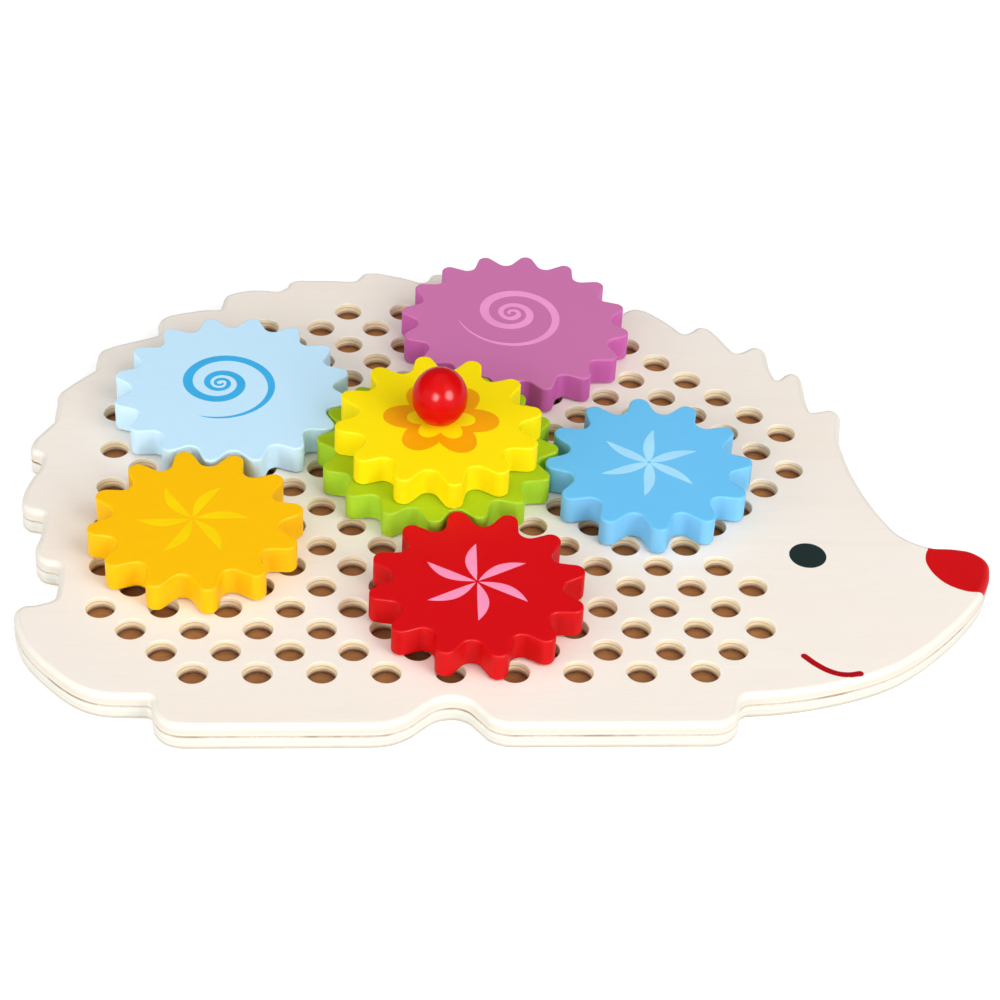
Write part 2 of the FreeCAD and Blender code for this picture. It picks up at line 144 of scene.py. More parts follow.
# ---------------------------------------------------------------------------
# mesh building with exact corner normals
# ---------------------------------------------------------------------------
class Builder:
    def __init__(self):
        self.v, self.n, self.f, self.fn, self.fm = [], [], [], [], []

    def add(self, p, n=(0.0, 0.0, 1.0)):
        self.v.append((float(p[0]), float(p[1]), float(p[2])))
        self.n.append(tuple(float(x) for x in n))
        return len(self.v) - 1

    def ring(self, pts, normals):
        return [self.add(p, n) for p, n in zip(pts, normals)]

    def face(self, idx, mat=0, normals=None):
        self.f.append(tuple(idx))
        self.fn.append(normals)
        self.fm.append(mat)

    def band(self, a, b, mat=0, na=None, nb=None, closed=True):
        """Quads between two rings of equal length; seen from outside, a runs left to right below b."""
        k = len(a)
        for i in range(k if closed else k - 1):
            j = (i + 1) % k
            m = mat[i] if isinstance(mat, (list, tuple)) else mat
            nn = None
            if na is not None or nb is not None:
                pa = (lambda q: self.n[a[q]]) if na is None else (lambda q: na[q])
                pb = (lambda q: self.n[b[q]]) if nb is None else (lambda q: nb[q])
                nn = (pa(i), pa(j), pb(j), pb(i))
            self.face((a[i], a[j], b[j], b[i]), m, nn)

    def cap(self, loops, up, keep, regions=(), z=None, mat=0, extra=()):
        """Flat face through closed index loops (and extra inner print loops, given as point
        lists), as a constrained triangulation. keep(xy) tells which triangles are in the face,
        regions is a list of (polygon, material) where later ones win."""
        pts, ids, edges = [], [], []
        for loop in loops:
            s = len(pts)
            for i in loop:
                pts.append((self.v[i][0], self.v[i][1]))
                ids.append(i)
            k = len(loop)
            edges += [(s + i, s + (i + 1) % k) for i in range(k)]
        for line, closed in extra:
            s = len(pts)
            for p in line:
                if isinstance(p, int):
                    pts.append((self.v[p][0], self.v[p][1]))
                    ids.append(p)
                else:
                    pts.append((p[0], p[1]))
                    ids.append(None)
            k = len(line)
            edges += [(s + i, s + (i + 1) % k) for i in range(k if closed else k - 1)]
        out_v, _, out_f, orig_v, _, _ = delaunay_2d_cdt(
            [Vector(p) for p in pts], edges, [], 0, 1e-5, True)
        nz = (0.0, 0.0, 1.0 if up else -1.0)
        index = []
        for co, orig in zip(out_v, orig_v):
            known = [ids[o] for o in orig if ids[o] is not None]
            index.append(known[0] if known else self.add((co.x, co.y, z), nz))
        tris = np.array([f for f in out_f], int)
        co = np.array([(p.x, p.y) for p in out_v])
        mid = co[tris].mean(1)
        e1, e2 = co[tris[:, 1]] - co[tris[:, 0]], co[tris[:, 2]] - co[tris[:, 0]]
        area = e1[:, 0] * e2[:, 1] - e1[:, 1] * e2[:, 0]
        ok = keep(mid) & (np.abs(area) > 1e-9)
        mats = np.full(len(tris), mat)
        for poly, m in regions:
            mats[inside(poly, mid)] = m
        for t, good, a, m in zip(tris, ok, area, mats):
            if not good:
                continue
            f = [index[i] for i in (t if (a > 0) == up else t[::-1])]
            if len(set(f)) == 3:
                self.face(f, int(m), (nz, nz, nz))

    def build(self, name, materials):
        used = sorted({i for f in self.f for i in f})
        back = {o: k for k, o in enumerate(used)}
        me = bpy.data.meshes.new(name)
        me.from_pydata([tuple(c * MM for c in self.v[i]) for i in used], [],
                       [tuple(back[i] for i in f) for f in self.f])
        for m in materials:
            me.materials.append(m)
        me.polygons.foreach_set("material_index", self.fm)
        me.polygons.foreach_set("use_smooth", [True] * len(self.f))
        loops = []
        for f, fn in zip(self.f, self.fn):
            loops += list(fn) if fn is not None else [self.n[i] for i in f]
        me.update()
        me.normals_split_custom_set(loops)
        me.validate(clean_customdata=False)
        o = bpy.data.objects.new(name, me)
        bpy.context.scene.collection.objects.link(o)
        return o


def inside(poly, pts):
    """Which points lie in a polygon (even-odd)."""
    poly = np.asarray(poly, float)
    x, y = pts[:, 0], pts[:, 1]
    hit = np.zeros(len(pts), bool)
    x0, y0 = poly[-1]
    for x1, y1 in poly:
        if y0 != y1:
            c = ((y0 > y) != (y1 > y)) & (x < (x1 - x0) * (y - y0) / (y1 - y0) + x0)
            hit ^= c
        x0, y0 = x1, y1
    return hit


# ---------------------------------------------------------------------------
# outlines: points with outward normals
# ---------------------------------------------------------------------------
def circle_direction(a, b, c):
    ax, ay = a
    bx, by = b
    cx, cy = c
    d = 2 * ((bx - ax) * (cy - ay) - (by - ay) * (cx - ax))
    if abs(d) < 1e-9:
        return math.atan2(cy - ay, cx - ax)
    a2 = (bx - ax) ** 2 + (by - ay) ** 2
    c2 = (cx - ax) ** 2 + (cy - ay) ** 2
    ux = ax + ((cy - ay) * a2 - (by - ay) * c2) / d
    uy = ay + ((bx - ax) * c2 - (cx - ax) * a2) / d
    k = 1 if d > 0 else -1
    return math.atan2(by - uy, bx - ux) + k * math.pi / 2


def biarc_joint(p0, t0, p1, t1):
    vx, vy = p1[0] - p0[0], p1[1] - p0[1]
    c0, s0, c1, s1 = math.cos(t0), math.sin(t0), math.cos(t1), math.sin(t1)
    vt = vx * (c0 + c1) + vy * (s0 + s1)
    vv = vx * vx + vy * vy
    den = 2 * (1 - (c0 * c1 + s0 * s1))
    if abs(den) < 1e-9:
        if abs(vx * s0 - vy * c0) < 1e-7 * math.sqrt(vv):
            return None
        d = vv / (4 * (vx * c1 + vy * s1))
    else:
        d = (-vt + math.sqrt(vt * vt + den * vv)) / den
    return ((p0[0] + p1[0] + d * (c0 - c1)) / 2, (p0[1] + p1[1] + d * (s0 - s1)) / 2)


def arc_from(p, t, q, out):
    """Appends samples (x, y, nx, ny) of the arc that leaves p in direction t and ends before q."""
    vx, vy = q[0] - p[0], q[1] - p[1]
    length = math.hypot(vx, vy)
    if length < 1e-6:
        return
    c, s = math.cos(t), math.sin(t)
    half = math.atan2(c * vy - s * vx, c * vx + s * vy)
    sweep = 2 * half
    k = max(1, math.ceil(abs(math.degrees(sweep)) / 6), math.ceil(length / 2.5))
    if abs(half) < 1e-6:
        for i in range(k):
            out.append((p[0] + vx * i / k, p[1] + vy * i / k, s, -c))
        return
    r = length / (2 * math.sin(half))
    cx, cy = p[0] - s * r, p[1] + c * r
    for i in range(k):
        a = t + sweep * i / k
        out.append((cx + math.sin(a) * r, cy - math.cos(a) * r, math.sin(a), -math.cos(a)))


def board_outline():
    pts = []
    for n in OUTLINE:
        if n[0] == 's':
            pts.append([*at(n[1], n[2]), math.radians(n[3]) if len(n) > 3 else None])
        else:
            _, u, v, di, do, s = n
            di, do = math.radians(di), math.radians(do)
            pts.append([*at(u - s * math.cos(di), v - s * math.sin(di)), di])
            pts.append([*at(u + s * math.cos(do), v + s * math.sin(do)), do])
    for i, p in enumerate(pts):
        if p[2] is None:
            p[2] = circle_direction(pts[i - 1][:2], p[:2], pts[(i + 1) % len(pts)][:2])
    out = []
    for i, a in enumerate(pts):
        b = pts[(i + 1) % len(pts)]
        j = biarc_joint(a[:2], a[2], b[:2], b[2])
        if j is None:
            arc_from(a, a[2], b, out)
            continue
        arc_from(a, a[2], j, out)
        # the second arc ends in b's direction: its start direction mirrors that one in its chord
        chord = math.atan2(b[1] - j[1], b[0] - j[0])
        arc_from(j, 2 * chord - b[2], b, out)
    return np.array(out)


def gear_outline(teeth, tip, root, rt, rv, cx, cy, angle):
    al = math.pi / teeth
    c1 = (tip - rt, 0.0)
    rad = root + rv
    c2 = (rad * math.cos(al), rad * math.sin(al))
    dx, dy = c2[0] - c1[0], c2[1] - c1[1]
    th = math.atan2(dy, dx) - math.acos((rt + rv) / math.hypot(dx, dy))
    n = (math.cos(th), math.sin(th))
    t1 = (c1[0] + rt * n[0], c1[1] + rt * n[1])
    t2 = (c2[0] - rv * n[0], c2[1] - rv * n[1])
    half = []
    for i in range(9):                      # tip arc
        a = th * i / 8
        half.append((c1[0] + rt * math.cos(a), c1[1] + rt * math.sin(a), math.cos(a), math.sin(a)))
    for i in range(1, 3):                   # straight flank
        f = i / 2
        half.append((t1[0] + (t2[0] - t1[0]) * f, t1[1] + (t2[1] - t1[1]) * f, n[0], n[1]))
    for i in range(1, 8):                   # valley arc
        a = th + (al - th) * i / 7
        half.append((c2[0] - rv * math.cos(a), c2[1] - rv * math.sin(a), math.cos(a), math.sin(a)))
    back = [(x, -y, nx, -ny) for x, y, nx, ny in half[::-1]][:-1]
    tooth = back + half[:-1]
    out = []
    for k in range(teeth):
        a = math.radians(angle) + 2 * math.pi * k / teeth
        c, s = math.cos(a), math.sin(a)
        for x, y, nx, ny in tooth:
            out.append((cx + x * c - y * s, cy + x * s + y * c, nx * c - ny * s, nx * s + ny * c))
    return np.array(out)


def rim(b, outline, steps):
    """Rings of an outline at (inset, z, normal tilt) steps; tilt is the angle of the normal above
    the horizontal, in degrees."""
    rings = []
    for inset, z, tilt in steps:
        t = math.radians(tilt)
        rings.append(b.ring(
            [(x - nx * inset, y - ny * inset, z) for x, y, nx, ny in outline],
            [(nx * math.cos(t), ny * math.cos(t), math.sin(t)) for x, y, nx, ny in outline]))
    return rings


def rounding(r, z_flat, up, count):
    """Steps of a rounded rim, from the side wall to the flat face at z_flat."""
    k = 1 if up else -1
    return [(r * (1 - math.cos(math.radians(90 * i / count))),
             z_flat - k * r * (1 - math.sin(math.radians(90 * i / count))),
             k * 90 * i / count) for i in range(count + 1)]


def circle(cx, cy, r, count, start=0.0):
    return [(cx + r * math.cos(start + 2 * math.pi * i / count),
             cy + r * math.sin(start + 2 * math.pi * i / count)) for i in range(count)]


def smooth_line(ctrl, per, closed=False):
    """Catmull-Rom through control points."""
    c = [np.array(p, float) for p in ctrl]
    n = len(c)
    out = []
    for i in range(n if closed else n - 1):
        p1, p2 = c[i], c[(i + 1) % n]
        p0 = c[(i - 1) % n] if closed or i > 0 else 2 * p1 - p2
        p3 = c[(i + 2) % n] if closed or i + 2 < n else 2 * p2 - p1
        for k in range(per):
            t = k / per
            out.append(0.5 * (2 * p1 + (p2 - p0) * t + (2 * p0 - 5 * p1 + 4 * p2 - p3) * t * t
                              + (3 * p1 - p0 - 3 * p2 + p3) * t ** 3))
    if not closed:
        out.append(c[-1])
    return [tuple(p) for p in out]


# ---------------------------------------------------------------------------
# printed ornaments, in half pitches from the gear's centre
# ---------------------------------------------------------------------------
def spiral(centre, table, scale=1 / 180.0):
    """Band between two radii that shrink as it winds in. table: angle, inner and outer radius."""
    rows = smooth_line(table, 6)
    outer = [(centre[0] + r[2] * scale * math.cos(math.radians(r[0])),
              centre[1] + r[2] * scale * math.sin(math.radians(r[0]))) for r in rows]
    inner = [(centre[0] + r[1] * scale * math.cos(math.radians(r[0])),
              centre[1] + r[1] * scale * math.sin(math.radians(r[0]))) for r in rows]
    return outer + inner[::-1][1:-1]


LIGHT_BLUE_SPIRAL = [
    (248, 355, 356), (262, 345, 359), (285, 334, 355), (315, 317, 349), (345, 296, 338),
    (375, 269, 319), (405, 246, 298), (435, 230, 284), (465, 215, 273), (495, 199, 258),
    (525, 184, 246), (555, 170, 231), (585, 154, 213), (615, 140, 198), (645, 124, 183),
    (675, 109, 165), (705, 98, 152), (735, 88, 141), (765, 82, 131), (795, 77, 126),
    (825, 76, 122), (855, 74, 118), (885, 71, 112), (915, 67, 105), (945, 63, 96),
    (975, 55, 87), (1005, 47, 77), (1035, 37, 68), (1065, 30, 60), (1095, 30, 54),
    (1125, 28, 52), (1155, 25, 50), (1185, 23, 50), (1215, 25, 51), (1245, 29, 50),
    (1275, 27, 48), (1305, 18, 42), (1335, 12, 33), (1365, 7, 26), (1395, 4, 19),
    (1425, 4, 12), (1450, 6, 8),
]
PURPLE_SPIRAL = [
    (190, 353, 355), (205, 339, 349), (225, 330, 345), (255, 322, 346), (285, 312, 345),
    (315, 290, 335), (345, 265, 315), (375, 240, 294), (405, 220, 275), (435, 200, 260),
    (465, 182, 246), (495, 168, 230), (525, 151, 211), (555, 138, 193), (585, 125, 181),
    (615, 116, 169), (645, 106, 161), (675, 100, 153), (705, 95, 144), (735, 90, 137),
    (765, 85, 128), (795, 79, 120), (825, 71, 109), (855, 64, 99), (885, 54, 90),
    (915, 48, 81), (945, 43, 76), (975, 34, 71), (1005, 27, 68), (1035, 25, 64),
    (1065, 27, 63), (1095, 33, 59), (1125, 31, 57), (1155, 26, 50), (1185, 19, 43),
    (1215, 13, 36), (1245, 8, 28), (1275, 8, 18), (1290, 11, 13),
]


def turned(points, angle, centre=(0.0, 0.0), size=1.0):
    c, s = math.cos(math.radians(angle)), math.sin(math.radians(angle))
    return [(centre[0] + size * (x * c - y * s), centre[1] + size * (x * s + y * c))
            for x, y in points]


# a petal of the pinwheels: along its own axis x, with a straight and a bulging edge
SEGMENT_PETAL = smooth_line(
    [(0.05, 0.012), (0.22, 0.115), (0.45, 0.235), (0.70, 0.325), (0.95, 0.362), (1.20, 0.335),
     (1.45, 0.245), (1.66, 0.125), (1.83, 0.0)], 4) + [(1.40, -0.006), (0.90, -0.01), (0.40, -0.008)]
# a leaf whose tip bends clockwise
LEAF_PETAL = (smooth_line([(0.06, 0.05), (0.20, 0.13), (0.42, 0.205), (0.72, 0.262), (1.02, 0.262),
                           (1.30, 0.21), (1.56, 0.115), (1.785, 0.0)], 4)
              + smooth_line([(1.785, 0.0), (1.60, -0.035), (1.38, -0.052), (1.10, -0.085),
                             (0.80, -0.115), (0.50, -0.115), (0.24, -0.075), (0.06, -0.02)], 4)[1:])


def flower(size, phase):
    lobe = [(0.0, 1.95), (7.5, 1.91), (15.0, 1.74), (22.0, 1.47), (27.0, 1.31), (30.0, 1.26)]
    deg = [-a for a, _ in lobe[::-1]] + [a for a, _ in lobe[1:]]
    rad = [r for _, r in lobe[::-1]] + [r for _, r in lobe[1:]]
    out = []
    for k in range(6):
        for i in range(40):
            a = -30 + 60 * i / 40
            # smooth inside the lobe, sharp at the valley between two lobes
            r = float(np.interp(a, deg, rad))
            t = abs(a) / 30
            r = 1.95 - 0.69 * t ** 2.05 * (1 + 0.16 * math.sin(math.pi * min(1.0, t)))
            a = math.radians(a + 60 * k + phase)
            out.append((size * r * math.cos(a), size * r * math.sin(a)))
    return out


PRINTS = {
    "purple": [(spiral((-0.1667, 0.4222), PURPLE_SPIRAL), 1)],
    "light_blue": [(spiral((-0.4222, 0.2778), LIGHT_BLUE_SPIRAL), 1)],
    "red": [(turned(SEGMENT_PETAL, 28.5 + 60 * k, (-0.075, 0.0)), 1) for k in range(6)],
    "blue": [(turned(LEAF_PETAL, 19.8 + 60 * k, (0.0, 0.015)), 1) for k in range(6)],
    "orange": [(turned(SEGMENT_PETAL, 1.2 + 60 * k, (-0.17, 0.055), 0.99), 1) for k in range(6)],
    "yellow": [(flower(1.0, -5.0), 1), (flower(0.59, -4.0), 2)],
}


# ---------------------------------------------------------------------------
# materials
# ---------------------------------------------------------------------------
def lin(r, g, b):
    def f(c):
        c /= 255.0
        return c / 12.92 if c <= 0.04045 else ((c + 0.055) / 1.055) ** 2.4
    return (f(r), f(g), f(b), 1.0)


class Nodes:
    """Short hand for building a node tree on object coordinates in millimetres."""

    def __init__(self, name):
        self.mat = bpy.data.materials.new(name)
        self.mat.use_nodes = True
        self.t = self.mat.node_tree
        self.t.nodes.clear()
        self.out = self.t.nodes.new("ShaderNodeOutputMaterial")
        self.b = self.t.nodes.new("ShaderNodeBsdfPrincipled")
        self.t.links.new(self.b.outputs[0], self.out.inputs[0])
        self.tc = self.t.nodes.new("ShaderNodeTexCoord")
        self.geo = self.t.nodes.new("ShaderNodeNewGeometry")

    def link(self, a, b):
        self.t.links.new(a, b)

    def put(self, socket, value):
        if isinstance(value, bpy.types.NodeSocket):
            self.link(value, socket)
        else:
            socket.default_value = value

    def coords(self, scale=(1, 1, 1), rotation=(0, 0, 0), offset=(0, 0, 0)):
        m = self.t.nodes.new("ShaderNodeMapping")
        self.link(self.tc.outputs["Object"], m.inputs["Vector"])
        m.inputs["Scale"].default_value = [s * 1000 for s in scale]
        m.inputs["Rotation"].default_value = rotation
        m.inputs["Location"].default_value = offset
        return m.outputs[0]

    def noise(self, vec, scale=1.0, detail=2.0, rough=0.5, distortion=0.0):
        n = self.t.nodes.new("ShaderNodeTexNoise")
        self.link(vec, n.inputs["Vector"])
        n.inputs["Scale"].default_value = scale
        n.inputs["Detail"].default_value = detail
        n.inputs["Roughness"].default_value = rough
        n.inputs["Distortion"].default_value = distortion
        return n.outputs["Fac"]

    def xyz(self, vec):
        s = self.t.nodes.new("ShaderNodeSeparateXYZ")
        self.link(vec, s.inputs[0])
        return s.outputs

    def join(self, x, y, z):
        s = self.t.nodes.new("ShaderNodeCombineXYZ")
        for i, v in enumerate((x, y, z)):
            self.put(s.inputs[i], v)
        return s.outputs[0]

    def math(self, op, a, b=0.0, c=None, clamp=False):
        m = self.t.nodes.new("ShaderNodeMath")
        m.operation = op
        m.use_clamp = clamp
        self.put(m.inputs[0], a)
        self.put(m.inputs[1], b)
        if c is not None:
            self.put(m.inputs[2], c)
        return m.outputs[0]

    def span(self, value, a, b, c=0.0, d=1.0, smooth=False):
        m = self.t.nodes.new("ShaderNodeMapRange")
        m.interpolation_type = "SMOOTHSTEP" if smooth else "LINEAR"
        self.put(m.inputs["Value"], value)
        for k, x in zip(("From Min", "From Max", "To Min", "To Max"), (a, b, c, d)):
            m.inputs[k].default_value = x
        return m.outputs["Result"]

    def mix(self, fac, a, b, mode="MIX"):
        m = self.t.nodes.new("ShaderNodeMix")
        m.data_type = "RGBA"
        m.blend_type = mode
        self.put(m.inputs[0], fac)
        self.put(m.inputs[6], a)
        self.put(m.inputs[7], b)
        return m.outputs[2]

    def ramp(self, fac, stops):
        r = self.t.nodes.new("ShaderNodeValToRGB")
        self.link(fac, r.inputs[0])
        e = r.color_ramp.elements
        while len(e) < len(stops):
            e.new(0.5)
        for el, (p, c) in zip(e, stops):
            el.position = p
            el.color = c
        return r.outputs[0]

    def bump(self, height, strength, distance, normal=None):
        n = self.t.nodes.new("ShaderNodeBump")
        n.inputs["Strength"].default_value = strength
        n.inputs["Distance"].default_value = distance
        self.link(height, n.inputs["Height"])
        if normal is not None:
            self.link(normal, n.inputs["Normal"])
        return n.outputs[0]

    def up(self):
        """Absolute height of the surface normal: 1 on flat faces, 0 on side walls."""
        return self.math("ABSOLUTE", self.xyz(self.geo.outputs["Normal"])[2])


def tone(c, k):
    return tuple(min(1.0, x * k) for x in c[:3]) + (1.0,)


def mixed(a, b, f):
    return tuple(x * (1 - f) + y * f for x, y in zip(a[:3], b[:3])) + (1.0,)


def paint(name, top, side, seed, rough=0.40, grain_bump=0.10, grain_dir=0.0, variation=0.05):
    """Satin paint on wood: the grain telegraphs through; the side walls get their own colour, lighter or
    darker than the top, as painted light and shade.
    """
    n = Nodes(name)
    slow = n.noise(n.coords((0.022, 0.022, 0.022), offset=(seed, seed * 1.7, 0)), 1.0, 3.0, 0.55)
    grain = n.noise(n.coords((0.05, 1.1, 0.35), rotation=(0, 0, grain_dir),
                             offset=(seed * 3.1, seed, 0)), 1.0, 4.0, 0.6, 0.6)
    peel = n.noise(n.coords((1, 1, 1), offset=(seed, 0, 0)), 1.5, 2.0, 0.5)
    # painted light and shade: the side walls take the side colour and the flat top the top colour, chosen
    # by how the surface faces
    flat = n.span(n.up(), 0.25, 0.92, smooth=True)
    base = n.mix(flat, side, top)
    light = n.mix(n.span(slow, 0.3, 0.7, 0.0, variation * 2), base, tone(top, 1.12))
    dark = n.mix(n.span(grain, 0.42, 0.66, 0.0, variation), light, tone(side, 0.75))
    n.link(dark, n.b.inputs["Base Color"])
    n.link(n.math("ADD", n.span(peel, 0.3, 0.7, rough - 0.03, rough + 0.05),
                  n.span(grain, 0.4, 0.7, 0.0, 0.06)), n.b.inputs["Roughness"])
    nb = n.bump(grain, grain_bump, 0.00025)
    nb = n.bump(peel, 0.05, 0.0001, nb)
    n.link(nb, n.b.inputs["Normal"])
    n.b.inputs["Specular IOR Level"].default_value = 0.1
    return n.mat


def board_grain(n, seed=0.0):
    """Long wood grain along X with pores; returns (streaks, pores)."""
    wave = n.noise(n.coords((0.004, 0.09, 0.02), offset=(seed, seed, 0)), 1.0, 4.0, 0.62, 0.8)
    pores = n.noise(n.coords((0.11, 2.2, 0.6), offset=(seed * 2, 0, seed)), 1.0, 3.0, 0.6)
    return wave, pores


def whitewash(name, colour, warm, seed=0.0):
    """Clear-white stained plywood face with faint grain."""
    n = Nodes(name)
    wave, pores = board_grain(n, seed)
    blotch = n.noise(n.coords((0.018, 0.018, 0.018), offset=(seed + 4, 2, 0)), 1.0, 2.0, 0.5)
    c = n.mix(n.span(blotch, 0.32, 0.68), colour, warm)
    c = n.mix(n.span(wave, 0.45, 0.75, 0.0, 0.10), c, lin(226, 205, 178))
    c = n.mix(n.span(pores, 0.56, 0.74, 0.0, 0.10), c, lin(205, 180, 150))
    n.link(c, n.b.inputs["Base Color"])
    n.link(n.math("ADD", n.span(pores, 0.4, 0.7, 0.46, 0.56), n.span(blotch, 0.3, 0.7, -0.02, 0.03)),
           n.b.inputs["Roughness"])
    nb = n.bump(pores, 0.10, 0.00015)
    nb = n.bump(wave, 0.10, 0.0004, nb)
    n.link(nb, n.b.inputs["Normal"])
    n.b.inputs["Specular IOR Level"].default_value = 0.2
    return n.mat


def ply_lines(n, z0, bounds, blur=0.12, wobble=0.16):
    """1 on the glue lines at heights bounds (mm above z0), 0 between them."""
    z = n.xyz(n.coords())[2]
    wob = n.noise(n.coords((0.12, 0.12, 0.0)), 1.0, 2.0, 0.5)
    z = n.math("ADD", n.math("SUBTRACT", z, z0), n.span(wob, 0.2, 0.8, -wobble, wobble))
    total = None
    for h in bounds:
        d = n.math("ABSOLUTE", n.math("SUBTRACT", z, h))
        l = n.span(d, blur * 0.4, blur * 1.8, 1.0, 0.0, smooth=True)
        total = l if total is None else n.math("MAXIMUM", total, l)
    return total, z


def rim_prints(n, colour, nose_red, mouth_red):
    """Red of the nose and of the mouth's end where they run out over the rounded rim."""
    x, y, z = n.xyz(n.coords())[:3]
    nose = n.math("MULTIPLY", n.span(x, at(NOSE_U, 0)[0] - 0.1, at(NOSE_U, 0)[0] + 0.1),
                  n.span(y, at(0, NOSE_V)[1] - 0.1, at(0, NOSE_V)[1] + 0.1))
    nose = n.math("MULTIPLY", nose, n.span(z, PLATE_Z - 2.9, PLATE_Z - 2.5, 0.0, 1.0))
    (ax, ay), (bx, by) = at(*MOUTH[-2]), at(*MOUTH[-1])
    dx, dy = bx - ax, by - ay
    ll = dx * dx + dy * dy
    px, py = n.math("SUBTRACT", x, ax), n.math("SUBTRACT", y, ay)
    t = n.math("MULTIPLY", n.math("MULTIPLY_ADD", px, dx, n.math("MULTIPLY", py, dy)), 1.0 / ll, clamp=True)
    ex = n.math("SUBTRACT", px, n.math("MULTIPLY", t, dx))
    ey = n.math("SUBTRACT", py, n.math("MULTIPLY", t, dy))
    dist = n.math("SQRT", n.math("MULTIPLY_ADD", ex, ex, n.math("MULTIPLY", ey, ey)))
    mouth = n.span(dist, MOUTH_W / 2 - 0.05, MOUTH_W / 2 + 0.05, 1.0, 0.0)
    return n.mix(mouth, n.mix(nose, colour, nose_red), mouth_red)


def ply_edge(name, pale, mid, line, z0, bounds, line_amount=0.5, seed=0.0, rough=0.5,
             inks=None, foot=None, foot_shade_span=(0.1, 1.1), rim_shade_tone=None):
    """Sawn and sanded plywood edge: alternating plies with thin glue lines."""
    n = Nodes(name)
    lines, z = ply_lines(n, z0, bounds)
    fibre = n.noise(n.coords((0.5, 0.5, 3.0), offset=(seed, 0, 0)), 1.0, 3.0, 0.6)
    cells = n.noise(n.coords((2.5, 2.5, 2.5), offset=(0, seed, 0)), 1.0, 2.0, 0.6)
    # every second ply shows end grain and is a little darker
    step = None
    ordered = [-1.0] + list(bounds) + [99.0]
    for i in range(1, len(ordered) - 1, 2):
        inside_ply = n.math("MULTIPLY",
                            n.span(z, ordered[i] - 0.06, ordered[i] + 0.06),
                            n.span(z, ordered[i + 1] - 0.06, ordered[i + 1] + 0.06, 1.0, 0.0))
        step = inside_ply if step is None else n.math("MAXIMUM", step, inside_ply)
    c = n.mix(n.math("MULTIPLY", step, n.span(cells, 0.3, 0.7, 0.55, 1.0)), pale, mid)
    c = n.mix(n.span(fibre, 0.5, 0.8, 0.0, 0.25), c, mid)
    c = n.mix(n.math("MULTIPLY", lines, n.span(fibre, 0.3, 0.6, line_amount * 0.6, line_amount)), c, line)
    # painted shade: the colour darkens to the foot colour towards the bottom of the edge, standing in for
    # the shadow where it meets the surface below
    if foot is not None:
        c = n.mix(n.span(n.math("ADD", z, n.span(cells, 0.2, 0.8, -0.15, 0.15)), *foot_shade_span, 0.85, 0.0,
                         smooth=True), c, foot)
    # painted shade: the rounded rim blends from the edge colours to the given tone as it turns up, graded
    # by how the surface faces
    if rim_shade_tone is not None:
        c = n.mix(n.span(n.up(), 0.10, 0.95, smooth=True), c, rim_shade_tone)
    if inks is not None:
        c = rim_prints(n, c, *inks)
    n.link(c, n.b.inputs["Base Color"])
    n.link(n.span(cells, 0.3, 0.7, rough - 0.04, rough + 0.08), n.b.inputs["Roughness"])
    nb = n.bump(cells, 0.12, 0.0001)
    n.link(n.bump(lines, 0.25, -0.00006, nb), n.b.inputs["Normal"])
    n.b.inputs["Specular IOR Level"].default_value = 0.2
    return n.mat


def hole_radius(n):
    """Distance in mm from the middle of the nearest peg hole."""
    x, y, _ = n.xyz(n.coords())[:3]
    u = n.math("MULTIPLY_ADD", x, 1 / PITCH, CENTRE_U)
    v = n.math("MULTIPLY_ADD", y, 1 / PITCH, CENTRE_V)
    p = n.math("MULTIPLY", n.math("ADD", u, v), 0.5)
    q = n.math("MULTIPLY", n.math("SUBTRACT", u, v), 0.5)
    p = n.math("SUBTRACT", p, n.math("ROUND", p))
    q = n.math("SUBTRACT", q, n.math("ROUND", q))
    square = n.math("ADD", n.math("MULTIPLY", p, p), n.math("MULTIPLY", q, q))
    return n.math("MULTIPLY", n.math("SQRT", n.math("MULTIPLY", square, 2.0)), PITCH)


def floor_wood(name, light, dark, painted_corner_shade, seed=0.0):
    """Bare lower veneer seen at the bottom of the holes, darker towards the wall all round as painted shade
    in the corner.
    """
    n = Nodes(name)
    wave, pores = board_grain(n, seed)
    blotch = n.noise(n.coords((0.05, 0.05, 0.05), offset=(seed, 0, 0)), 1.0, 2.0, 0.5)
    c = n.mix(n.span(blotch, 0.32, 0.68), light, dark)
    c = n.mix(n.span(wave, 0.40, 0.66, 0.0, 0.45), c, tone(dark, 0.72))
    c = n.mix(n.span(pores, 0.52, 0.70, 0.0, 0.45), c, tone(dark, 0.55))
    ragged = n.noise(n.coords((0.7, 0.7, 0.7), offset=(seed, 0, 0)), 1.0, 2.0, 0.5)
    # painted shade: the floor darkens towards the wall of the hole, most of all in a thin ring at its foot
    r = n.math("ADD", hole_radius(n), n.span(ragged, 0.25, 0.75, -0.35, 0.35))
    c = n.mix(n.span(r, 2.6, 4.9, 0.0, 0.40, smooth=True), c, painted_corner_shade)
    c = n.mix(n.span(r, 4.6, 5.25, 0.0, 0.85, smooth=True), c, tone(painted_corner_shade, 0.30))
    n.link(c, n.b.inputs["Base Color"])
    n.link(n.span(pores, 0.4, 0.7, 0.55, 0.68), n.b.inputs["Roughness"])
    n.link(n.bump(pores, 0.3, 0.0002), n.b.inputs["Normal"])
    return n.mat


def bare_wood(name, light, dark):
    """Turned beech: flecks and long grain down the sides."""
    n = Nodes(name)
    long_grain = n.noise(n.coords((1.3, 1.3, 0.07)), 1.0, 4.0, 0.6, 0.4)
    fleck = n.noise(n.coords((2.6, 2.6, 0.5)), 1.0, 2.0, 0.5)
    c = n.ramp(long_grain, [(0.32, dark), (0.62, light)])
    c = n.mix(n.span(fleck, 0.60, 0.72, 0.0, 0.35), c, tone(dark, 0.7))
    n.link(c, n.b.inputs["Base Color"])
    n.link(n.span(long_grain, 0.3, 0.7, 0.48, 0.62), n.b.inputs["Roughness"])
    n.link(n.bump(long_grain, 0.2, 0.0002), n.b.inputs["Normal"])
    return n.mat


